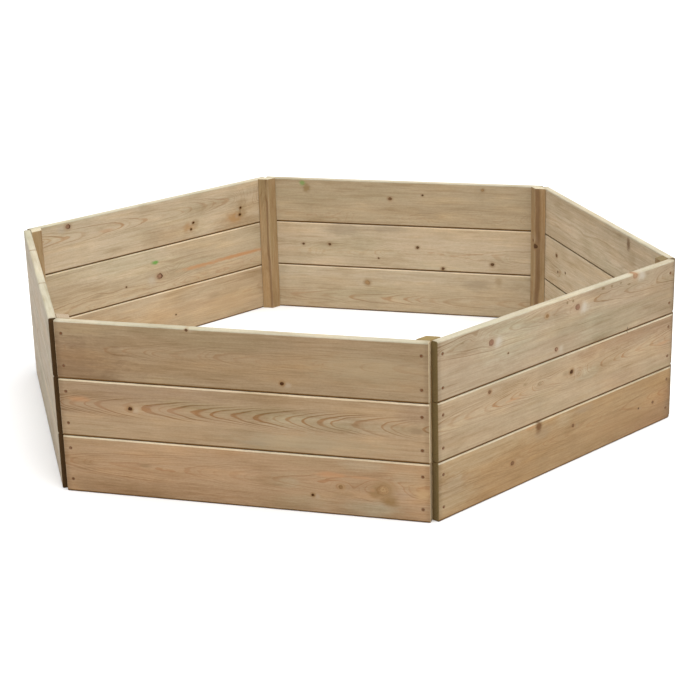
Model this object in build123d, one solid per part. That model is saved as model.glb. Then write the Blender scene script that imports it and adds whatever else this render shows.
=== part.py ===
from build123d import *
import math
import os

# A six-sided timber sandbox frame, open at the top and the bottom. Each side is a stack of
# planed boards. At every corner the boards are nailed to a post inside the frame. Units are
# mm, +Z is up, and the origin is the middle of the frame at ground level. +X runs along the
# front side.

# Driving dimensions.
BOARD_LENGTH = 900.0  # one side of the frame, from corner to corner on the inner faces
BOARD_WIDTH = 144.0  # the height of one board on its edge
BOARD_THICKNESS = 20.0
BOARD_ARRIS_RADIUS = 4.0  # rounding of a board's four long edges
POST_THICKNESS = 30.0  # from a face on the boards to the free face opposite
POST_ARRIS_RADIUS = 1.5  # rounding of a post's free vertical edges
NAIL_EDGE_DISTANCE = 32.0  # from a board's top or bottom edge to the nearer nail
NAIL_LENGTH = 40.0
NAIL_SHANK_RADIUS = 1.5
NAIL_HEAD_RADIUS = 3.2
NAIL_HEAD_THICKNESS = 1.2
NAIL_TIP_LENGTH = 4.0
NAIL_TIP_RADIUS = 0.3
NAIL_SINK = 0.6  # how far a head lies below the board's face
NAIL_CLEARANCE = 0.05  # radial gap between a nail and its hole
CUT_OVERSHOOT = 1.0  # how far a hole's cutter starts outside the wood

SIDE_NAMES = ["front", "front_right", "back_right", "back", "back_left", "front_left"]
CORNER_NAMES = ["front_right", "right", "back_right", "back_left", "left", "front_left"]
LAYER_NAMES = ["bottom", "middle", "top"]

# Sizes that follow from the driving dimensions.
SIDE_COUNT = len(SIDE_NAMES)
TURN = 360.0 / SIDE_COUNT
APOTHEM = BOARD_LENGTH / 2 / math.tan(math.pi / SIDE_COUNT)  # middle of the frame to an inner face
FRAME_HEIGHT = BOARD_WIDTH * len(LAYER_NAMES)
POST_SIDE = POST_THICKNESS / math.sin(math.radians(TURN))  # along each board it lies on
NAIL_END_DISTANCE = POST_SIDE / 2  # over the middle of the post's face
OUTER_FACE_Y = -APOTHEM - BOARD_THICKNESS  # the outer face of the front side
HEAD_BED_DEPTH = NAIL_SINK + NAIL_HEAD_THICKNESS


def on_side(shape, side):
    """Turns a shape made for the front side, or for its right corner, to another side."""
    return Rot(0, 0, TURN * side) * shape


def bar_along_normal(x, z, near_depth, far_depth, near_radius, far_radius):
    """A round bar through the front side, from one depth behind the outer face to another."""
    length = far_depth - near_depth
    middle = OUTER_FACE_Y + (near_depth + far_depth) / 2
    # Turning by -90 degrees about X points the bar's own +Z into the frame.
    place = Pos(x, middle, z) * Rot(-90, 0, 0)
    if near_radius == far_radius:
        return place * Cylinder(near_radius, length)
    return place * Cone(near_radius, far_radius, length)


def nail_heights(layer):
    """The heights of the two nails at each end of a layer's board."""
    low = BOARD_WIDTH * layer
    return [low + NAIL_EDGE_DISTANCE, low + BOARD_WIDTH - NAIL_EDGE_DISTANCE]


def nail_spots(layer):
    """The x and z of the four nails of a board in the front side."""
    reach = BOARD_LENGTH / 2 - NAIL_END_DISTANCE
    return [(x, z) for x in (-reach, reach) for z in nail_heights(layer)]


def nail(x, z):
    """One nail, with a flat head and a tapered tip, driven square to the front side."""
    shoulder = HEAD_BED_DEPTH
    tip_start = NAIL_SINK + NAIL_LENGTH - NAIL_TIP_LENGTH
    tip_end = NAIL_SINK + NAIL_LENGTH
    head = bar_along_normal(x, z, NAIL_SINK, shoulder, NAIL_HEAD_RADIUS, NAIL_HEAD_RADIUS)
    shank = bar_along_normal(x, z, shoulder, tip_start, NAIL_SHANK_RADIUS, NAIL_SHANK_RADIUS)
    tip = bar_along_normal(x, z, tip_start, tip_end, NAIL_SHANK_RADIUS, NAIL_TIP_RADIUS)
    return head + shank + tip


def nail_hole(x, z):
    """The room one nail takes up: a flat bed for the head, and a bore for the shank."""
    shank_radius = NAIL_SHANK_RADIUS + NAIL_CLEARANCE
    head_radius = NAIL_HEAD_RADIUS + NAIL_CLEARANCE
    bore_end = NAIL_SINK + NAIL_LENGTH + NAIL_CLEARANCE
    bed = bar_along_normal(x, z, -CUT_OVERSHOOT, HEAD_BED_DEPTH, head_radius, head_radius)
    bore = bar_along_normal(x, z, 0.0, bore_end, shank_radius, shank_radius)
    return bed + bore


def board(layer):
    """One board of the front side, square at its ends, with rounded long edges and nail holes."""
    middle_y = OUTER_FACE_Y + BOARD_THICKNESS / 2
    middle_z = BOARD_WIDTH * (layer + 0.5)
    blank = Pos(0, middle_y, middle_z) * Box(BOARD_LENGTH, BOARD_THICKNESS, BOARD_WIDTH)
    long_edges = blank.edges().filter_by(Axis.X)
    planed = fillet(long_edges, BOARD_ARRIS_RADIUS)
    for x, z in nail_spots(layer):
        planed -= nail_hole(x, z)
    return planed


def post_holes():
    """The nail holes in the post at the front side's right corner, from both sides it holds."""
    reach = BOARD_LENGTH / 2 - NAIL_END_DISTANCE
    holes = []
    for layer in range(len(LAYER_NAMES)):
        for z in nail_heights(layer):
            holes.append(nail_hole(reach, z))
            holes.append(on_side(nail_hole(-reach, z), 1))
    return holes


def post():
    """The post at the front side's right corner.

    Its section is a rhombus: two faces lie on the boards of the two sides that meet there,
    and the free faces are parallel to them.
    """
    corner = Vector(BOARD_LENGTH / 2, -APOTHEM)
    along_front = Vector(-POST_SIDE, 0)
    along_next = Vector(POST_SIDE, 0).rotate(Axis.Z, TURN)
    outline = Polyline(
        corner,
        corner + along_front,
        corner + along_front + along_next,
        corner + along_next,
        close=True,
    )
    blank = extrude(make_face(outline), amount=FRAME_HEIGHT)
    upright_edges = blank.edges().filter_by(Axis.Z).sort_by_distance(corner)
    free_edges = upright_edges[1:]  # all but the edge buried in the corner
    shaped = fillet(free_edges, POST_ARRIS_RADIUS)
    for hole in post_holes():
        shaped -= hole
    return shaped


def write(shape, name):
    """Writes one sub-part under its node name."""
    export_step(shape, f"parts/{name}.step")


os.makedirs("parts", exist_ok=True)

front_boards = [board(layer) for layer in range(len(LAYER_NAMES))]
front_nails = [[nail(x, z) for x, z in nail_spots(layer)] for layer in range(len(LAYER_NAMES))]
for side, side_name in enumerate(SIDE_NAMES):
    for layer, layer_name in enumerate(LAYER_NAMES):
        node = f"{side_name}_{layer_name}"
        write(on_side(front_boards[layer], side), f"{node}_board")
        group = Compound(children=[on_side(one, side) for one in front_nails[layer]])
        write(group, f"{node}_nails")

corner_post = post()
for corner, corner_name in enumerate(CORNER_NAMES):
    write(on_side(corner_post, corner), f"post_{corner_name}")
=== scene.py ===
import math

import bmesh
import bpy
import numpy as np
from mathutils import Matrix, Vector


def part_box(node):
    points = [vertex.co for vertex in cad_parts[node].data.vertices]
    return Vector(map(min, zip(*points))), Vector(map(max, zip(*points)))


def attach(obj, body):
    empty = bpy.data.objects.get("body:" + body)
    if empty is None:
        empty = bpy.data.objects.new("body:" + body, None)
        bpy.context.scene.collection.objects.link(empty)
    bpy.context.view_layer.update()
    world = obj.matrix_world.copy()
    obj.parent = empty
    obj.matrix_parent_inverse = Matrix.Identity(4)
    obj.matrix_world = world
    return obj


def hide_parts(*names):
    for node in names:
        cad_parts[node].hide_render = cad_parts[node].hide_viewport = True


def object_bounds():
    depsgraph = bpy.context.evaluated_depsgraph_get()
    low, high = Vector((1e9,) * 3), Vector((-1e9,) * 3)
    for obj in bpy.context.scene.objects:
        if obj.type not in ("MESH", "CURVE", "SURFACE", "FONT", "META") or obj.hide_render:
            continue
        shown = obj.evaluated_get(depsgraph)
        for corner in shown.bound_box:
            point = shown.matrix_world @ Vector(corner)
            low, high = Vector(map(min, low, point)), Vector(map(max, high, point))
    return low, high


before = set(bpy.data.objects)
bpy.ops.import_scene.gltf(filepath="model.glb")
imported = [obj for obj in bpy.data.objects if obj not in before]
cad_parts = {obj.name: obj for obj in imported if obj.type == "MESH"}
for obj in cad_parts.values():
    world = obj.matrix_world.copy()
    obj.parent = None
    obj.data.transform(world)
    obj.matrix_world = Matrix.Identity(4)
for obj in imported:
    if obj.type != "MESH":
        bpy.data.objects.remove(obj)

# A six-sided timber sandbox frame: 18 planed boards, 6 corner posts and 72 nails. Every piece
# is built here as its own mesh, in metres, in the place of its CAD node.

CAD_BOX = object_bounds()

# -------- names and sizes
SIDES = ["front", "front_right", "back_right", "back", "back_left", "front_left"]
CORNERS = ["front_right", "right", "back_right", "back_left", "left", "front_left"]
LAYERS = ["bottom", "middle", "top"]
TURN = math.radians(360 / len(SIDES))

front_low, front_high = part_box("front_bottom_board")
BOARD_LENGTH = front_high.x - front_low.x
BOARD_THICKNESS = front_high.y - front_low.y
BOARD_WIDTH = front_high.z - front_low.z
OUTER_Y = front_low.y  # the front side's outer face
INNER_Y = front_high.y
FRAME_HEIGHT = CAD_BOX[1].z

MM = 0.001
BOARD_ARRIS_RADIUS = 4 * MM
BOARD_GAP = 0.5 * MM  # between one board and the next
BURIED_ARRIS_RADIUS = 0.4 * MM  # the post's edge in the corner behind the boards
POST_ARRIS_RADIUS = 1.5 * MM
BURIED_DEPTH = 8 * MM  # how far from that corner a post has no knocks
NAIL_HEAD_RADIUS = 3.2 * MM
NAIL_SINK = 0.6 * MM
NAIL_STEPS = 20  # round a nail
NAIL_LEAN = 0.02  # the most that a nail leans, per unit of length
NAIL_HEAD_DEPTH = 1.5 * MM
NAIL_HEAD_DENTS = 0.04  # as a share of its radius
# Radius and depth in mm of a nail's head, neck, shank and tip, from the middle of its head.
NAIL_PROFILE = [(0.0, 0.0), (1.3, 0.0), (2.5, 0.05), (2.95, 0.18), (3.18, 0.42), (3.18, 0.85),
                (2.9, 1.15), (1.9, 1.45), (1.5, 2.2), (1.5, 36.0), (0.9, 38.4), (0.0, 40.0)]
NAIL_BED_DEPTH = 1.3 * MM
NAIL_BED_RADIUS = NAIL_HEAD_RADIUS + 0.2 * MM
CRATER_DEPTH = 1.0 * MM
CRATER_WIDTH = 3.2 * MM

# How the ends are eased: distance from the end, how far the faces are cut in, share of end grain.
END_ROUNDING = [(0.0, 1.3 * MM, 1.0), (0.3 * MM, 0.65 * MM, 0.8), (0.9 * MM, 0.18 * MM, 0.25),
                (1.8 * MM, 0.0, 0.0)]
END_SPREAD = (0.75, 1.15)  # how uneven that easing is
BOARD_WANDER = 0.18 * MM  # slow changes of the arris radius
POST_WANDER = 0.15 * MM
ARRIS_KNOCKS = 7
POST_KNOCKS = 6
FACE_DIP = 0.12 * MM  # how far planing leaves a face from flat
SAW_ERROR = 0.5 * MM  # how short or out of square a sawn end is at most
SAW_REACH = 12 * MM

nails_low, nails_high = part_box("front_bottom_nails")
NAIL_REACH = nails_high.x - NAIL_HEAD_RADIUS  # from the middle of a board to its nails
NAIL_HEIGHTS = [nails_low.z + NAIL_HEAD_RADIUS, nails_high.z - NAIL_HEAD_RADIUS]

post_low, post_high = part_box("post_front_right")
POST_THICKNESS = post_high.y - post_low.y
POST_SIDE = POST_THICKNESS / math.sin(TURN)


def on_side(points, side):
    """Turns points from the front side, or from its right corner, to another side."""
    c, s = math.cos(TURN * side), math.sin(TURN * side)
    x, y, z = points[..., 0], points[..., 1], points[..., 2]
    return np.stack([c * x - s * y, s * x + c * y, z], axis=-1)


# -------- meshes
def graded(start, end, coarse, fine=None, centres=(), reach=0.0):
    """Places from start to end, coarse apart, and fine apart within reach of each centre."""
    cuts = {start, end}
    for c in centres:
        cuts |= {max(start, c - reach), min(end, c + reach)}
    cuts = sorted(cuts)
    places = [start]
    for a, b in zip(cuts, cuts[1:]):
        near = any(abs((a + b) / 2 - c) < reach for c in centres)
        count = max(1, round((b - a) / (fine if near else coarse)))
        places += list(np.linspace(a, b, count + 1)[1:])
    return np.array(places)


def bar_places(start, end, *spacing):
    """Where a bar's cross-sections lie: graded, and closer where its ends are eased."""
    margin = END_ROUNDING[-1][0]
    steps = np.array([place for place, _, _ in END_ROUNDING[:-1]])
    inner = graded(start + margin, end - margin, *spacing)
    return np.concatenate([start + steps, inner, end - steps[::-1]])


def rounded_outline(corners, radii, flats, arc_steps=6):
    """A closed outline with rounded corners, counter-clockwise.

    flats gives the places along each flat, from corner to corner. Returns the points, their
    outward normals, and how far each is into a rounding: 0 on a flat, 1 in an arc's middle.
    """
    points, normals, bend = [], [], []
    count = len(corners)
    clearance = 0.3 * MM  # between an arc's end and the first place on a flat
    for i in range(count):
        before, here, after = corners[i - 1], corners[i], corners[(i + 1) % count]
        come = (here - before) / np.linalg.norm(here - before)
        go = (after - here) / np.linalg.norm(after - here)
        turn = math.atan2(come[0] * go[1] - come[1] * go[0], come @ go)
        tangent = radii[i] * math.tan(turn / 2)
        centre = here - come * tangent + radii[i] * np.array([-come[1], come[0]])
        first = math.atan2(-come[0], come[1])
        for k in range(arc_steps + 1):
            angle = first + turn * k / arc_steps
            normal = np.array([math.cos(angle), math.sin(angle)])
            points.append(centre + radii[i] * normal)
            normals.append(normal)
            bend.append(math.sin(math.pi * k / arc_steps))
        length = np.linalg.norm(after - here)
        next_arc = length - radii[(i + 1) % count] * math.tan(turn / 2)
        for place in flats[i]:
            if tangent + clearance < place < next_arc - clearance:
                points.append(here + go * place)
                normals.append(np.array([go[1], -go[0]]))
                bend.append(0.0)
    return np.array(points), np.array(normals), np.array(bend)


def linked(name, data):
    """An object in the scene."""
    obj = bpy.data.objects.new(name, data)
    bpy.context.scene.collection.objects.link(obj)
    return obj


def add_attribute(mesh, label, kind, field, values):
    """Stores values, or vectors, for the points of a mesh."""
    data = mesh.attributes.new(label, kind, "POINT").data
    data.foreach_set(field, np.asarray(values, np.float32).ravel())


def wood_object(name, points, faces, wood):
    """A smooth mesh that carries the wood's own coordinates."""
    mesh = bpy.data.meshes.new(name)
    mesh.from_pydata(points.tolist(), [], faces)
    add_attribute(mesh, "wood", "FLOAT_VECTOR", "vector", wood)
    mesh.shade_smooth()
    return linked(name, mesh)


def bar_object(name, rows, wood, end, edge):
    """A closed bar from its cross-section rows.

    end is 1 on the sawn ends, and edge is 1 along the middle of each rounded edge.
    """
    row_count, loop, _ = rows.shape
    ring = np.arange(loop)
    following = (ring + 1) % loop
    faces = []
    for a in range(0, (row_count - 1) * loop, loop):
        b = a + loop
        faces += np.stack([a + ring, a + following, b + following, b + ring], axis=1).tolist()
    last = (row_count - 1) * loop
    faces += [ring[::-1].tolist(), (last + ring).tolist()]
    obj = wood_object(name, rows.reshape(-1, 3), faces, wood)
    add_attribute(obj.data, "end", "FLOAT", "value", end)
    add_attribute(obj.data, "edge", "FLOAT", "value", edge)
    # Smooth shading stops at the rims of the two end faces.
    sharp = obj.data.attributes.new("sharp_edge", "BOOLEAN", "EDGE")
    for rim in obj.data.edges:
        a, b = rim.vertices
        sharp.data[rim.index].value = (a < loop and b < loop) or (a >= last and b >= last)
    return obj


def finish_piece(obj, node):
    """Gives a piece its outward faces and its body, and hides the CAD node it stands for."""
    bm = bmesh.new()
    bm.from_mesh(obj.data)
    bmesh.ops.recalc_face_normals(bm, faces=bm.faces)
    bm.to_mesh(obj.data)
    bm.free()
    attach(obj, "root")
    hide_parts(node)
    return obj


def soft_noise(rng, places, wavelength):
    """A smooth random curve over some places, from about -1 to 1."""
    total = np.zeros_like(places)
    for octave in range(3):
        wave = wavelength / 2**octave
        total += rng.uniform(0.3, 1) / 2**octave * np.sin(
            2 * math.pi * places / wave + rng.uniform(0, 2 * math.pi)
        )
    return total / 1.75


def ease_ends(cut, end, rng, scale=1.0):
    """Deepens the cut at both ends, a little unevenly, and marks their end grain."""
    for row, (_, inset, amount) in enumerate(END_ROUNDING):
        for place in (row, -1 - row):
            cut[place] += scale * inset * rng.uniform(*END_SPREAD, cut.shape[1])
            end[place] = amount


def nail_craters(x, height):
    """How deep the driven nails press the board's outer face, at places on it."""
    depth = np.zeros_like(x)
    for nail_x in (-NAIL_REACH, NAIL_REACH):
        for nail_z in NAIL_HEIGHTS:
            away = np.hypot(x - nail_x, height - nail_z)
            crush = np.clip(1 - (away - NAIL_HEAD_RADIUS) / CRATER_WIDTH, 0, 1)
            bed = np.where(away < NAIL_BED_RADIUS, NAIL_BED_DEPTH, 0)
            depth = np.maximum(depth, np.maximum(CRATER_DEPTH * crush**2, bed))
    return depth


def board_piece(side, layer):
    """One board: rounded arrises with small dents, worn ends, and a crater at each nail."""
    name = f"{SIDES[side]}_{LAYERS[layer]}_board"
    rng = np.random.default_rng(100 + side * 10 + layer)
    half = BOARD_LENGTH / 2
    x = bar_places(-half, half, 6 * MM, 0.8 * MM, (-NAIL_REACH, NAIL_REACH), 7 * MM)
    # The outline is in (depth, height): the outer face is at depth 0 and faces out of the frame.
    t, w = BOARD_THICKNESS, BOARD_WIDTH
    corners = [np.array(c) for c in ((0.0, 0.0), (t, 0.0), (t, w), (0.0, w))]
    outer_lines = graded(0, w, 7 * MM, 0.8 * MM, [w - h for h in NAIL_HEIGHTS], 6.5 * MM)
    edge_lines = graded(0, t, 4 * MM)
    inner_lines = graded(0, w, 9 * MM)
    outline, normals, bend = rounded_outline(
        corners, [BOARD_ARRIS_RADIUS] * 4, [edge_lines, inner_lines, edge_lines, outer_lines])

    along, depth = np.meshgrid(x, outline[:, 0], indexing="ij")
    height = np.broadcast_to(outline[:, 1], along.shape).copy()
    wood = np.stack([along + half, depth, height], axis=-1)
    low = 0 if layer == 0 else BOARD_GAP / 2
    high = w if layer == len(LAYERS) - 1 else w - BOARD_GAP / 2
    height = low + height * (high - low) / w

    cut = np.zeros_like(along)
    # Each arris has its own slight changes of radius, and a few knocks from handling.
    quadrant = (outline[:, 0] > t / 2).astype(int) + 2 * (outline[:, 1] > w / 2).astype(int)
    for arris in range(4):
        mask = bend * (quadrant == arris)
        wander = BOARD_WANDER * (1 + soft_noise(rng, x, 0.25))
        for _ in range(ARRIS_KNOCKS):
            place, length = rng.uniform(-half, half), rng.uniform(3, 12) * MM
            wander += rng.uniform(0.1, 0.6) * MM * np.exp(-((x - place) / length) ** 2)
        cut += wander[:, None] * mask[None, :]
    end = np.zeros_like(along)
    ease_ends(cut, end, rng)
    face_dip = FACE_DIP * (1 + soft_noise(rng, x, 0.6))
    cut += face_dip[:, None] * (1 - bend)[None, :] * (np.abs(normals[:, 0]) > 0.5)[None, :]
    on_outer = (outline[:, 0] < 0.01 * MM)[None, :]
    cut += nail_craters(along, height) * on_outer
    depth = depth - cut * normals[:, 0]
    height = height - cut * normals[:, 1]
    # The saw cuts are a little out of square, and no two boards quite the same length.
    near_end = np.clip(1 - (half - np.abs(along)) / SAW_REACH, 0, 1)
    for sign in (-1, 1):
        share = height / w if rng.random() < 0.5 else 1 - height / w
        short = rng.uniform(0, SAW_ERROR) + rng.uniform(0, SAW_ERROR) * share
        along = along - sign * short * near_end * (np.sign(along) == sign)

    points = np.stack([along, OUTER_Y + depth, layer * BOARD_WIDTH + height], axis=-1)
    edge = np.broadcast_to(bend, along.shape)
    obj = bar_object(name + "_wood", on_side(points, side), wood, end, edge)
    return finish_piece(obj, name)


def post_piece(corner):
    """One corner post, a rhombus in section, standing in the frame's inner corner."""
    name = f"post_{CORNERS[corner]}"
    rng = np.random.default_rng(300 + corner)
    turn = np.array([math.cos(TURN), math.sin(TURN)])
    foot = np.array([BOARD_LENGTH / 2, INNER_Y])
    left = foot + np.array([-POST_SIDE, 0.0])
    near = left + POST_SIDE * turn
    right = foot + POST_SIDE * turn
    across = (near - foot) / np.linalg.norm(near - foot)
    lines = graded(0, POST_SIDE, 4 * MM)
    outline, normals, bend = rounded_outline(
        [foot, right, near, left], [BURIED_ARRIS_RADIUS] + [POST_ARRIS_RADIUS] * 3, [lines] * 4)
    z = bar_places(0.0, FRAME_HEIGHT, 9 * MM)
    cut = np.zeros((len(z), len(outline)))
    free = (outline - foot) @ across > BURIED_DEPTH
    for k in range(4):
        mask = np.roll(bend, k * 3) * free
        cut += (POST_WANDER * (1 + soft_noise(rng, z, 0.2)))[:, None] * mask[None, :]
    knocks = np.zeros_like(z)
    for _ in range(POST_KNOCKS):
        knocks += rng.uniform(0.1, 0.5) * MM * np.exp(
            -((z - rng.uniform(0, FRAME_HEIGHT)) / (rng.uniform(3, 10) * MM)) ** 2)
    cut += knocks[:, None] * (bend * free)[None, :]
    end = np.zeros_like(cut)
    ease_ends(cut, end, rng, 0.6)
    section = outline[None, :, :] - cut[:, :, None] * normals[None, :, :]
    heights = np.broadcast_to(z[:, None], cut.shape).copy()
    points = np.concatenate([section, heights[:, :, None]], axis=2)
    # The wood's own coordinates are the height, then from the foot to the near edge, then across.
    offset = outline - (foot + near) / 2
    deep = np.broadcast_to(offset @ across, cut.shape)
    wide = np.broadcast_to(offset @ np.array([-across[1], across[0]]), cut.shape)
    wood = np.stack([heights, deep, wide], -1)
    edge = np.broadcast_to(bend * free, cut.shape)
    obj = bar_object(name + "_wood", on_side(points, corner), wood, end, edge)
    return finish_piece(obj, name)


def nail_faces(base, levels):
    """One nail's faces: a fan on its head, bands down its sides and a fan round its tip."""
    first = base + 1
    tip = first + levels * NAIL_STEPS
    pairs = [(k, (k + 1) % NAIL_STEPS) for k in range(NAIL_STEPS)]
    faces = [[base, first + k, first + n] for k, n in pairs]
    for a in range(first, tip - NAIL_STEPS, NAIL_STEPS):
        b = a + NAIL_STEPS
        faces += [[a + k, b + k, b + n, a + n] for k, n in pairs]
    last = tip - NAIL_STEPS
    return faces + [[last + k, tip, last + n] for k, n in pairs]


def nails_piece(side, layer):
    """The four nails of one board, each with a dished rim, a neck, a shank and a tip."""
    name = f"{SIDES[side]}_{LAYERS[layer]}_nails"
    rng = np.random.default_rng(500 + side * 10 + layer)
    profile = np.array(NAIL_PROFILE) * MM
    points, faces, wood = [], [], []
    for nail_x in (-NAIL_REACH, NAIL_REACH):
        for nail_z in NAIL_HEIGHTS:
            faces += nail_faces(len(points), len(profile) - 2)
            lean_x, lean_z = rng.uniform(-NAIL_LEAN, NAIL_LEAN, 2)
            shape = 1 - NAIL_HEAD_DENTS * rng.random(NAIL_STEPS)
            for radius, deep in profile:
                for k in range(1 if radius == 0 else NAIL_STEPS):
                    angle = 2 * math.pi * k / NAIL_STEPS
                    r = radius * (shape[k] if deep < NAIL_HEAD_DEPTH else 1)
                    dx, dz = r * math.cos(angle), r * math.sin(angle)
                    tilt = max(0.0, lean_x * dx + lean_z * dz)
                    points.append((nail_x + dx + lean_x * deep * 0.5,
                                   OUTER_Y + NAIL_SINK + deep + tilt,
                                   layer * BOARD_WIDTH + nail_z + dz + lean_z * deep * 0.5))
                    wood.append((nail_x + dx + side, deep, nail_z + dz + layer))
    obj = wood_object(name + "_steel", on_side(np.array(points), side), faces, wood)
    return finish_piece(obj, name)


# -------- shader building
class Graph:
    """Short ways to add and join the nodes of one tree."""

    def __init__(self, tree):
        self.tree = tree

    def add(self, kind, **settings):
        node = self.tree.nodes.new(kind)
        for key, value in settings.items():
            setattr(node, key, value)
        return node

    def put(self, socket, value):
        """Links a socket or sets it. A colour is given without its alpha."""
        if isinstance(value, bpy.types.NodeSocket):
            self.tree.links.new(value, socket)
        else:
            socket.default_value = (*value, 1.0) if socket.type == "RGBA" else value

    def put_all(self, sockets, values):
        for socket, value in zip(sockets, values):
            self.put(socket, value)

    def group(self, tree, **values):
        """Uses a node group, with a value or a link for each of its sockets."""
        node = self.add("ShaderNodeGroup", node_tree=tree)
        for label, value in values.items():
            self.put(node.inputs[label], value)
        return node.outputs

    def math(self, operation, *values, clamp=False):
        node = self.add("ShaderNodeMath", operation=operation, use_clamp=clamp)
        self.put_all(node.inputs, values)
        return node.outputs[0]

    def plus(self, a, b):
        return self.math("ADD", a, b)

    def minus(self, a, b):
        return self.math("SUBTRACT", a, b)

    def times(self, a, b):
        return self.math("MULTIPLY", a, b)

    def scaled(self, value, factor, offset):
        return self.math("MULTIPLY_ADD", value, factor, offset)

    def squares(self, a, b):
        return self.plus(self.times(a, a), self.times(b, b))

    def length(self, a, b):
        return self.math("SQRT", self.squares(a, b))

    def size(self, value):
        return self.math("ABSOLUTE", value)

    def vector(self, operation, *values, output=0):
        node = self.add("ShaderNodeVectorMath", operation=operation)
        self.put_all(node.inputs, values)
        return node.outputs[output]

    def split(self, vector):
        node = self.add("ShaderNodeSeparateXYZ")
        self.put(node.inputs[0], vector)
        return node.outputs

    def noise(self, point, stretch, seed, detail=2.0, roughness=0.5):
        """Noise from 0 to 1 whose cells are 1/stretch long in each direction."""
        node = self.add("ShaderNodeTexNoise")
        place = self.vector("MULTIPLY_ADD", point, stretch, (seed, seed * 1.7, seed * 0.6))
        self.put(node.inputs["Vector"], place)
        node.inputs["Scale"].default_value = 1.0
        node.inputs["Detail"].default_value = detail
        node.inputs["Roughness"].default_value = roughness
        return node.outputs[0]

    def wave(self, *settings):
        """Noise about zero."""
        return self.minus(self.noise(*settings), 0.5)

    def remap(self, value, low, high, new_low=0.0, new_high=1.0, smooth=True):
        node = self.add("ShaderNodeMapRange")
        node.interpolation_type = "SMOOTHSTEP" if smooth else "LINEAR"
        self.put_all(node.inputs, (value, low, high, new_low, new_high))
        return node.outputs[0]

    def curve(self, value, stops):
        """A grey value through stops of (place, level)."""
        node = self.add("ShaderNodeValToRGB")
        ramp = node.color_ramp
        ramp.interpolation = "EASE"
        while len(ramp.elements) < len(stops):
            ramp.elements.new(0.5)
        for element, (place, level) in zip(ramp.elements, stops):
            element.position = place
            element.color = (level, level, level, 1)
        self.put(node.inputs[0], value)
        return node.outputs[0]

    def mix(self, factor, a, b, blend="MIX"):
        node = self.add("ShaderNodeMix", data_type="RGBA", blend_type=blend)
        self.put_all((node.inputs[0], node.inputs[6], node.inputs[7]), (factor, a, b))
        return node.outputs[2]

    def tint(self, colour, field, low, high, amount, tone, smooth=True):
        """Multiplies a colour by a tone, by an amount that grows as a field goes low to high."""
        share = self.remap(field, low, high, 0.0, amount, smooth)
        return self.mix(share, colour, tone, "MULTIPLY")


def new_group(name, inputs, outputs):
    """An empty node group with its input and output nodes. Its sockets are given by kind."""
    tree = bpy.data.node_groups.new(name, "ShaderNodeTree")
    for direction, sockets in (("INPUT", inputs), ("OUTPUT", outputs)):
        for kind, labels in sockets.items():
            for label in labels.split():
                tree.interface.new_socket(label, in_out=direction, socket_type="NodeSocket" + kind)
    graph = Graph(tree)
    return graph, graph.add("NodeGroupInput").outputs, graph.add("NodeGroupOutput").inputs


def knot_flow_group():
    """Bends the grain round a knot: adds the shift of the height coordinate."""
    g, given, out = new_group(
        "knot_flow", dict(Vector="point centre", Float="radius flow"), dict(Float="flow"))
    x, _, z = g.split(g.vector("SUBTRACT", given["point"], given["centre"]))
    square = g.squares(g.times(x, 0.45), z)
    reach = g.times(given["radius"], 1.6)
    reach_square = g.times(reach, reach)
    share = g.math("DIVIDE", reach_square, g.plus(square, reach_square))
    g.put(out["flow"], g.plus(given["flow"], g.times(z, g.times(share, 1.3))))
    return g.tree


def swirl_group():
    """Lifts the ring distance in an oval, which draws closed ovals or tongues in the figure."""
    g, given, out = new_group(
        "swirl", dict(Vector="point centre size", Float="lift rings"), dict(Float="rings"))
    away = g.vector("SUBTRACT", given["point"], given["centre"])
    x, _, z = g.split(g.vector("DIVIDE", away, given["size"]))
    bell = g.math("EXPONENT", g.times(g.squares(x, z), -1.0))
    g.put(out["rings"], g.scaled(bell, given["lift"], given["rings"]))
    return g.tree


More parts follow.
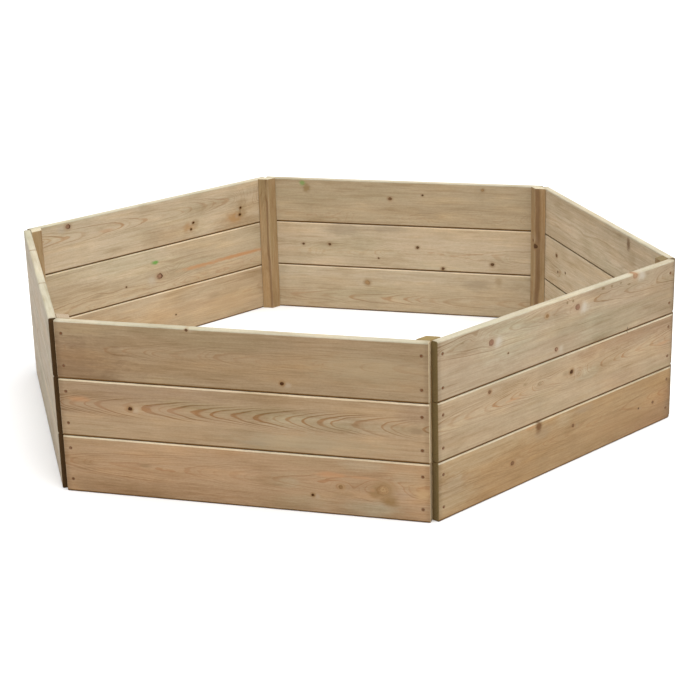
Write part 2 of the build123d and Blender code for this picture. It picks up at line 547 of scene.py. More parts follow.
def knot_paint_group():
    """Paints one knot: its core with rings, a dark rim, a warm halo and a pale flare beside it, which
    is a painted sheen.
    """
    g, given, out = new_group(
        "knot_paint",
        dict(Vector="point centre", Color="colour core rim halo",
             Float="radius relief rim_amount halo_amount flare"),
        dict(Color="colour", Float="relief"))
    x, _, z = g.split(g.vector("SUBTRACT", given["point"], given["centre"]))
    wobble = g.wave(given["point"], (260, 40, 260), 3.0)
    wide_wobble = g.wave(given["point"], (90, 20, 90), 8.0)
    away = g.length(g.times(x, 0.85), z)
    ratio = g.math("DIVIDE", away, given["radius"])
    ratio = g.scaled(wobble, 0.55, ratio)
    ratio = g.scaled(wide_wobble, 0.9, ratio)
    core = g.remap(ratio, 0.70, 1.18, 1.0, 0.0)
    rings = g.scaled(g.math("SINE", g.times(ratio, 13.0)), 0.5, 0.5)
    rim = g.remap(g.size(g.minus(ratio, 0.92)), 0.06, 0.34, 1.0, 0.0)
    # The rim is darkest on its left, where the branch's bark was folded in.
    leftness = g.math("DIVIDE", x, g.plus(away, 0.1 * MM))
    rim = g.times(rim, g.scaled(leftness, -0.35, 0.65))
    halo = g.math("POWER", g.remap(ratio, 0.85, 3.2, 1.0, 0.0), 1.8)
    # The flare, a painted sheen, is an oval to the right of the knot and a little below it.
    flare_x = g.math("DIVIDE", g.minus(g.math("DIVIDE", x, given["radius"]), 3.4), 3.2)
    flare_z = g.math("DIVIDE", g.plus(g.math("DIVIDE", z, given["radius"]), 0.8), 2.6)
    flare = g.scaled(wide_wobble, 0.8, g.length(flare_x, flare_z))
    flare = g.times(g.remap(flare, 0.05, 1.1, 1.0, 0.0), given["flare"])
    colour = g.mix(flare, given["colour"], KNOT_SHEEN_TONE)
    colour = g.mix(g.times(halo, given["halo_amount"]), colour, given["halo"])
    speckle = g.noise(given["point"], (500, 90, 700), 12.0)
    rings = g.times(rings, g.remap(speckle, 0.35, 0.65, 0.25, 0.75))
    colour = g.mix(core, colour, g.mix(rings, given["core"], given["rim"]))
    colour = g.mix(g.times(rim, given["rim_amount"]), colour, given["rim"])
    g.put(out["colour"], colour)
    g.put(out["relief"], g.scaled(rim, -0.8, g.scaled(core, 0.6, given["relief"])))
    return g.tree


def mark_group():
    """Paints one soft-edged oval stain."""
    g, given, out = new_group(
        "mark", dict(Vector="point centre size", Color="colour stain", Float="amount"),
        dict(Color="colour"))
    away = g.vector("SUBTRACT", given["point"], given["centre"])
    reach = g.vector("LENGTH", g.vector("DIVIDE", away, given["size"]), output="Value")
    reach = g.scaled(g.wave(given["point"], (45, 20, 150), 5.0, 3, 0.6), 1.1, reach)
    mask = g.times(g.remap(reach, 0.25, 1.05, 1.0, 0.0), given["amount"])
    g.put(out["colour"], g.mix(mask, given["colour"], given["stain"]))
    return g.tree


def board_edges_group():
    """Where a board is worn pale along its top, where it carries a painted highlight beside a joint,
    where painted shade darkens its joints and ends, and where nails stain it.
    """
    g, given, out = new_group(
        "board_edges", dict(Vector="point", Float="open_top"),
        dict(Float="worn pale grime stain soiled"))
    x, depth, height = g.split(given["point"])
    ragged = g.wave(given["point"], (60, 200, 200), 1.0, 3, 0.6)
    inward = g.math("MINIMUM", depth, g.minus(BOARD_THICKNESS, depth))
    high = g.scaled(ragged, EDGE_RAGGED, height)
    upper = g.remap(high, BOARD_WIDTH - UPPER_BAND[1], BOARD_WIDTH - UPPER_BAND[0])
    lower = g.remap(high, *LOWER_BAND, 1.0, 0.0)
    closed = g.minus(1.0, given["open_top"])
    deep = g.times(g.remap(inward, *JOINT_BAND), closed)
    worn = g.times(upper, g.minus(1.0, deep))
    from_middle = g.size(g.minus(x, BOARD_LENGTH / 2))
    # One distance serves all four nails, which mirror each other about the board's middle.
    nail_x = g.minus(from_middle, NAIL_REACH)
    nail_z = g.size(g.minus(height, BOARD_WIDTH / 2))
    nail_z = g.minus(nail_z, (NAIL_HEIGHTS[1] - NAIL_HEIGHTS[0]) / 2)
    away = g.scaled(ragged, STAIN_RAGGED, g.length(nail_x, nail_z))
    near_nail = g.remap(away, *STAIN_BAND, 1.0, 0.0)
    # On a top board this is pale wear along its upper edge; on the boards below it is a painted
    # highlight on the upper arris beside the joint, and pale is that painted highlight alone.
    g.put(out["worn"], worn)
    g.put(out["pale"], g.times(worn, closed))
    # Painted shade: the lower arris of each board, and the deep part of the upper arris below a joint,
    # are darkened where shade falls in the groove.
    g.put(out["grime"], g.math("MAXIMUM", lower, g.times(upper, deep)))
    g.put(out["stain"], g.times(near_nail, g.remap(depth, *STAIN_DEPTH, 1.0, 0.0)))
    # Painted shade: each board darkens over its last few mm towards either end.
    from_end = g.minus(BOARD_LENGTH / 2, from_middle)
    g.put(out["soiled"], g.remap(from_end, *END_SHADE_BAND, 1.0, 0.0))
    return g.tree


# A painted sheen: the pale patch beside a knot where its folded grain catches the light.
KNOT_SHEEN_TONE = (0.48, 0.42, 0.335)
# A band is where a mask near a board's edge, nail or end is full, and where it ends. The joint's
# band starts first and is full second. A ragged length is how far a band wanders.
EDGE_RAGGED = 1.5 * MM
UPPER_BAND = (3.0 * MM, 5.2 * MM)
LOWER_BAND = (3.0 * MM, 5.4 * MM)
JOINT_BAND = (1.9 * MM, 3.4 * MM)
STAIN_RAGGED = 2.0 * MM
STAIN_BAND = (3.0 * MM, 5.6 * MM)
STAIN_DEPTH = (4 * MM, 6 * MM)
# The band of painted shade at a board's ends.
END_SHADE_BAND = (1 * MM, 18 * MM)

KNOT_FLOW = knot_flow_group()
SWIRL = swirl_group()
KNOT_PAINT = knot_paint_group()
MARK = mark_group()
BOARD_EDGES = board_edges_group()

# Knot kinds: core and rim colours, how strong the rim is, the halo's colour and strength, and
# how strong the pale flare beside it, a painted sheen, is.
KNOT_LOOK = ("core", "rim", "rim_amount", "halo", "halo_amount", "flare")
KNOT_KINDS = {
    "dead": ((0.070, 0.024, 0.004), (0.040, 0.013, 0.002), 0.90, (0.24, 0.125, 0.045), 0.85, 0.25),
    "brown": ((0.20, 0.105, 0.048), (0.09, 0.040, 0.018), 0.75, (0.31, 0.175, 0.08), 0.75, 0.08),
    "pink": ((0.28, 0.150, 0.090), (0.16, 0.080, 0.045), 0.80, (0.36, 0.245, 0.15), 0.70, 0.85),
    "peach": ((0.38, 0.230, 0.130), (0.24, 0.135, 0.070), 0.60, (0.40, 0.275, 0.16), 0.60, 0.75),
    "amber": ((0.38, 0.24, 0.115), (0.23, 0.120, 0.048), 0.65, (0.28, 0.175, 0.080), 0.80, 0.15),
    "tan": ((0.26, 0.145, 0.062), (0.17, 0.085, 0.033), 0.50, (0.34, 0.21, 0.10), 0.75, 0.05),
    "ringed": ((0.33, 0.19, 0.11), (0.085, 0.032, 0.016), 1.00, (0.38, 0.25, 0.14), 0.60, 0.40),
    "small": ((0.125, 0.062, 0.027), (0.060, 0.027, 0.012), 0.80, (0.28, 0.170, 0.08), 0.85, 0.10),
    "pin": ((0.115, 0.055, 0.025), (0.075, 0.035, 0.016), 0.70, (0.32, 0.20, 0.10), 0.60, 0.10),
}

# One year's growth, as stops of (place, darkness): pale early wood, then a thin dark line.
YEAR = [(0.0, 0.10), (0.10, 0.0), (0.56, 0.10), (0.80, 1.0), (0.92, 0.9), (1.0, 0.10)]
# What late wood does to a board's own tone: at the tips of the figure, and on its flanks.
LATE_TINT = (0.78, 0.56, 0.40)
FLANK_TINT = (0.62, 0.50, 0.38)
# Where the figure starts to fade beside the pith line, where it is faintest, and how faint.
FADE = (15, 60, 0.45)
FLANK_BAND = (3 * MM, 16 * MM)  # from the tips' tint to the flanks'
GRAIN_WANDER = 18 * MM
RING_SWELL = 20 * MM
RING_TREMBLE = 3.0 * MM
STREAK_SWAY = 22 * MM
STREAK_RAGGED = 12 * MM
PIN_PUSH = 0.6  # share of the usual bend of the grain round a pin knot
GREEN_TINT = (0.76, 0.84, 0.76)
WARM_TINT = (1.05, 0.93, 0.75)
CLOUD_TINT = (0.78, 0.74, 0.66)
CLEAR_TINT = (1.16, 1.14, 1.10)
DARK_GRAIN_TINT = (0.72, 0.64, 0.52)
PALE_GRAIN_TINT = (1.17, 1.16, 1.12)
FIBRE_TINT = (0.66, 0.57, 0.46)
MOTTLE_TINT = (0.76, 0.73, 0.68)
BAND_TINT = (0.86, 0.86, 0.84)
# Pale wear on the top boards' upper edges and the posts' arrises, and a painted highlight on the upper
# arris of the boards below.
EDGE_TONE = (0.56, 0.52, 0.405)
# The painted highlight on the upper arris of each board below the top.
ARRIS_TONE = (0.80, 0.66, 0.47)
# The painted shade in the grooves between boards and along their lower edges.
JOINT_SHADE_TONE = (0.122, 0.056, 0.010)
# The painted shade that darkens each board towards its ends.
END_SHADE_TINT = (0.60, 0.57, 0.53)
NAIL_STAIN_TONE = (0.20, 0.122, 0.065)
HEART_TONE = (0.155, 0.075, 0.034)
CHECK_TONE = (0.16, 0.10, 0.055)
LIGHT_RUST = (0.21, 0.092, 0.038)
DARK_RUST = (0.090, 0.036, 0.014)
BARE_STEEL = (0.34, 0.24, 0.17)
END_TONE = (0.185, 0.135, 0.068)
END_EARLY_TINT = (1.25, 1.25, 1.25)
END_LATE_TINT = (0.60, 0.55, 0.50)
CRAYON_GREEN = (0.14, 0.31, 0.065)
CRAYON_DEPTH = 8 * MM
SPECULAR = 0.12
WOOD_BUMP = (0.55, 0.25 * MM)  # strength and distance
NAIL_BUMP = (0.6, 0.1 * MM)


def tinted(colour, tint):
    return tuple(a * b for a, b in zip(colour, tint))


def in_metres(x, z, depth=0):
    """A place or a size along, into and up a board, from mm along and up it."""
    return (x * MM, depth, z * MM)


def new_material(name):
    material = bpy.data.materials.new(name)
    material.use_nodes = True
    material.node_tree.nodes.clear()
    g = Graph(material.node_tree)
    return material, g, g.add("ShaderNodeAttribute", attribute_name="wood").outputs["Vector"]


def finish_shader(g, relief, bump_settings, looks):
    """Joins a bump from the relief, and looks by socket name, into a shader and its output."""
    bump = g.add("ShaderNodeBump")
    bump.inputs["Strength"].default_value, bump.inputs["Distance"].default_value = bump_settings
    g.put(bump.inputs["Height"], relief)
    shader = g.add("ShaderNodeBsdfPrincipled")
    shader.inputs["Specular IOR Level"].default_value = SPECULAR
    g.put(shader.inputs["Normal"], bump.outputs[0])
    for label, value in looks.items():
        g.put(shader.inputs[label], value)
    out = g.add("ShaderNodeOutputMaterial")
    g.put(out.inputs["Surface"], shader.outputs[0])


def log_rings(g, point, seed, pith, taper, waviness, knots, swirls):
    """The bent distance from the log's pith, and the height above or below it."""
    x, depth, height = g.split(point)
    # The grain wanders along the wood, and flows round each knot.
    flow = g.times(g.wave(point, (2.2, 9, 9), seed, 3), GRAIN_WANDER)
    for x_mm, z_mm, radius, kind in knots:
        push = PIN_PUSH if kind == "pin" else 1.0
        flow = g.group(KNOT_FLOW, point=point, centre=in_metres(x_mm, z_mm),
                       radius=radius * MM * push, flow=flow)["flow"]
    off_z = g.minus(g.minus(height, flow), pith[1] * MM)
    off_y = g.minus(depth, pith[0] * MM)
    rings = g.scaled(x, taper, g.length(off_z, off_y))
    # The log wasn't round: its rings swell and shrink along it.
    swell = g.wave(point, (4.2, 10, 15), seed + 5, 2, 0.45)
    rings = g.scaled(swell, RING_SWELL * waviness, rings)
    rings = g.scaled(g.wave(point, (26, 60, 75), seed + 8), RING_TREMBLE * waviness, rings)
    for x_mm, z_mm, half_x, half_z, lift in swirls:
        rings = g.group(SWIRL, point=point, centre=in_metres(x_mm, z_mm),
                        size=in_metres(half_x, half_z, 1), lift=lift * MM, rings=rings)["rings"]
    return rings, off_z


def late_wood(g, seed, rings, ring):
    """The thin dark line of each year, and how strong each year's line is."""
    years = g.math("DIVIDE", rings, ring * MM)
    uneven = g.add("ShaderNodeTexNoise", noise_dimensions="1D")
    g.put(uneven.inputs["W"], g.scaled(years, 0.31, seed))
    uneven.inputs["Scale"].default_value = 1.0
    years = g.scaled(uneven.outputs[0], 2.4, years)
    which = g.add("ShaderNodeTexWhiteNoise", noise_dimensions="1D")
    g.put(which.inputs["W"], g.math("FLOOR", years))
    return g.curve(g.math("FRACT", years), YEAR), g.scaled(which.outputs[0], 0.85, 0.25)


def weathered(g, point, seed, colour, green, warm):
    """Adds the treatment's and the sap's broad areas, drawn out along the grain."""
    blotch = g.noise(point, (2.4, 10, 13), seed + 21, 3, 0.55)
    cloud = g.noise(point, (5, 18, 26), seed + 26, 3, 0.6)
    drawn = g.noise(point, (6, 60, 140), seed + 31, 3, 0.6)
    colour = g.tint(colour, blotch, 0.47, 0.72, green, GREEN_TINT)
    colour = g.tint(colour, blotch, 0.53, 0.30, warm, WARM_TINT)
    colour = g.tint(colour, cloud, 0.5, 0.75, 0.8, CLOUD_TINT)
    colour = g.tint(colour, cloud, 0.5, 0.28, 0.75, CLEAR_TINT)
    colour = g.tint(colour, drawn, 0.45, 0.72, 0.42, DARK_GRAIN_TINT)
    colour = g.tint(colour, drawn, 0.45, 0.24, 0.32, PALE_GRAIN_TINT)
    return colour, drawn


def heart_streak(g, point, seed, colour, drawn, streak):
    """Paints a post's dark heartwood streak, which sways as it goes up."""
    _, depth, height = g.split(point)
    streak_z, streak_y, width, amount = streak
    sway = g.wave(point, (9, 1, 1), seed + 51, 3)
    line_z = g.minus(g.scaled(sway, STREAK_SWAY, height), streak_z * MM)
    away = g.length(line_z, g.minus(depth, streak_y * MM))
    away = g.scaled(g.minus(drawn, 0.5), STREAK_RAGGED, away)
    mask = g.remap(away, width * MM * 0.3, width * MM, amount, 0.0)
    return g.mix(mask, colour, HEART_TONE)


def paint_oval(g, point, colour, x, z, half_x, half_z, tone, amount):
    """Paints one soft-edged oval right through a board. Crayon lies on the inner face only."""
    face, reach = (BOARD_THICKNESS, CRAYON_DEPTH) if tone == CRAYON_GREEN else (0, 1)
    return g.group(MARK, point=point, centre=in_metres(x, z, face), colour=colour, stain=tone,
                   size=in_metres(half_x, half_z, reach), amount=amount)["colour"]


def wood_material(name, seed, tone, pith, taper=0.006, ring=3.2, contrast=0.6, waviness=1.0,
                  fade=FADE, late_tint=LATE_TINT, green=0.5, warm=0.5, knots=(), swirls=(),
                  washes=(), marks=(), streak=None, end_tone=END_TONE, board_top=None, arris=0.8):
    """Softwood sawn from a log whose pith line is known, so faces and ends agree.

    Lengths are in mm. pith is its depth and height at the wood's zero end, taper the log's
    growth along the wood, which sets the cathedral tips, and ring one year's growth. green and
    warm are how strong the treatment's and the sap's areas are. washes are broad changes of tone
    under the figure, some of them painted shade and some painted light, and marks are stains over
    it. board_top is None for a post, 1.0 for a board with nothing above it and 0.0 for the others.
    arris is how strong the painted highlight on the upper arris is.
    """
    material, g, point = new_material(name)
    end = g.add("ShaderNodeAttribute", attribute_name="end").outputs["Fac"]
    edge = g.add("ShaderNodeAttribute", attribute_name="edge").outputs["Fac"]
    rings, off_z = log_rings(g, point, seed, pith, taper, waviness, knots, swirls)
    late_line, strength = late_wood(g, seed, rings, ring)
    patch = g.remap(g.noise(point, (3.5, 16, 16), seed + 11), 0.3, 0.7, 0.45, 1.15)
    ring_tone = g.times(g.times(late_line, strength), patch)
    flank = g.remap(g.size(off_z), fade[0] * MM, fade[1] * MM, 1.0, fade[2])
    ring_tone = g.math("MULTIPLY", g.times(ring_tone, flank), contrast, clamp=True)
    base = tone
    for wash in washes:
        base = paint_oval(g, point, base, *wash)
    tint = g.mix(g.remap(g.size(off_z), *FLANK_BAND), late_tint, FLANK_TINT)
    colour = g.mix(ring_tone, base, g.mix(1.0, base, tint, "MULTIPLY"))

    if board_top is None:
        colour = g.mix(g.times(edge, 0.45), colour, EDGE_TONE)
    else:
        edges = g.group(BOARD_EDGES, point=point, open_top=board_top)
        # Pale wear on a top board's upper edge, and a painted highlight on the upper arris of each
        # board below.
        colour = g.mix(g.times(edges["worn"], 0.85), colour, EDGE_TONE)
        colour = g.mix(g.times(edges["pale"], arris), colour, ARRIS_TONE)
        # Painted shade towards each end.
        colour = g.mix(g.times(edges["soiled"], 0.5), colour, END_SHADE_TINT, "MULTIPLY")
    colour, drawn = weathered(g, point, seed, colour, green, warm)
    fibre = g.noise(point, (16, 380, 400), seed + 41, 4, 0.62)
    colour = g.tint(colour, fibre, 0.32, 0.68, 0.40, FIBRE_TINT, smooth=False)
    mottle = g.noise(point, (140, 260, 280), seed + 44, 2, 0.6)
    colour = g.tint(colour, mottle, 0.35, 0.65, 0.26, MOTTLE_TINT)
    if board_top is not None:
        # Faint bands across the boards, from the sticks between them while they dried.
        band = g.noise(point, (11, 1, 2.5), seed + 46)
        colour = g.tint(colour, band, 0.5, 0.7, 0.4, BAND_TINT)
    if streak is not None:
        colour = heart_streak(g, point, seed, colour, drawn, streak)
    for mark in marks:
        colour = paint_oval(g, point, colour, *mark)
    relief = g.times(late_line, 0.25)
    for x, z, radius, kind in knots:
        look = dict(zip(KNOT_LOOK, KNOT_KINDS[kind]))
        painted = g.group(KNOT_PAINT, point=point, centre=in_metres(x, z), radius=radius * MM,
                          colour=colour, relief=relief, **look)
        colour, relief = painted["colour"], painted["relief"]

    # Short drying checks along the grain, painted shade in the joints and along the lower edges, and
    # darker, rougher end grain.
    check = g.remap(g.noise(point, (5, 30, 420), seed + 61, 1), 0.76, 0.79)
    colour = g.mix(g.times(check, 0.4), colour, CHECK_TONE)
    if board_top is not None:
        colour = g.mix(g.times(edges["stain"], 0.8), colour, NAIL_STAIN_TONE)
        colour = g.mix(g.times(edges["grime"], 0.95), colour, JOINT_SHADE_TONE)
    sawn = g.noise(point, (160, 300, 900), seed + 71, 3, 0.65)
    end_late = tinted(end_tone, END_LATE_TINT)
    end_colour = g.mix(g.times(late_line, 0.7), tinted(end_tone, END_EARLY_TINT), end_late)
    end_colour = g.mix(g.times(sawn, 0.5), end_colour, end_late)

    relief = g.scaled(fibre, 0.55, relief)
    relief = g.scaled(check, -1.2, relief)
    relief = g.scaled(g.times(sawn, end), 2.0, relief)
    rough = g.scaled(fibre, 0.16, 0.55)
    rough = g.scaled(ring_tone, -0.08, rough)
    looks = {"Base Color": g.mix(end, colour, end_colour), "Roughness": g.scaled(end, 0.2, rough)}
    finish_shader(g, relief, WOOD_BUMP, looks)
    return material


def nail_material():
    """A driven nail's head: dull steel under patchy brown-red rust, with a fine pattern."""
    material, g, point = new_material("rusty_nail")
    patches = g.noise(point, (420, 420, 420), 2.0, 3, 0.6)
    grains = g.noise(point, (2200, 2200, 2200), 7.0, 3, 0.7)
    bare = g.remap(patches, 0.56, 0.66)
    rust = g.mix(grains, LIGHT_RUST, DARK_RUST)
    looks = {"Base Color": g.mix(g.times(bare, 0.5), rust, BARE_STEEL),
             "Metallic": g.times(bare, 0.4), "Roughness": g.scaled(grains, 0.3, 0.42)}
    finish_shader(g, g.plus(grains, patches), NAIL_BUMP, looks)
    return material


# -------- the boards' own figure
# The wood itself. The three tones named for shade are paler copies for the sides that the light reaches
# least: painted light.
GREY_TAN = (0.365, 0.262, 0.157)
MID_TAN = (0.415, 0.298, 0.182)
WARM_TAN = (0.43, 0.289, 0.171)
GREEN_TAN = (0.435, 0.340, 0.233)
BUFF = (0.45, 0.346, 0.226)
BROWN_TAN = (0.38, 0.258, 0.136)
PALE_TAN = (0.585, 0.475, 0.333)
PALE_WARM = (0.487, 0.365, 0.232)
PALE_GREY = (0.525, 0.425, 0.290)
DULL_TAN = (0.512, 0.405, 0.265)
SHADE_FILL_TAN = (0.645, 0.535, 0.383)
SHADE_FILL_GREY = (0.47, 0.40, 0.308)

# Broad areas, lighter or darker than the wood they lie in.
# A painted shade, laid as a wash at a board's end.
SHADE_DUSK = (0.270, 0.180, 0.105)
DUN = (0.360, 0.250, 0.155)
OLIVE_TAN = (0.370, 0.280, 0.180)
EMBER = (0.340, 0.210, 0.110)
FAIR = (0.430, 0.320, 0.190)
CREAM = (0.480, 0.410, 0.295)
BLOND = (0.530, 0.420, 0.285)
SILVER = (0.560, 0.475, 0.350)
IVORY = (0.630, 0.525, 0.380)
CHALK = (0.740, 0.620, 0.460)
# A paler wash for an inner face that the light reaches least: painted light.
SHADE_FILL_DUN = (0.560, 0.460, 0.320)

# Stains, streaks and marks.
RUSSET = (0.35, 0.215, 0.100)
OLIVE = (0.215, 0.145, 0.070)
SMEAR = (0.230, 0.130, 0.045)
HONEY = (0.400, 0.225, 0.090)
MOSS = (0.345, 0.285, 0.180)
ORANGE = (0.46, 0.235, 0.11)
AMBER = (0.46, 0.305, 0.155)
GREY = (0.285, 0.225, 0.150)
DARK = (0.05, 0.03, 0.018)
UMBER = (0.30, 0.20, 0.09)
BROWN = (0.20, 0.115, 0.060)
BARK = (0.155, 0.075, 0.028)
STREAK = (0.47, 0.255, 0.120)

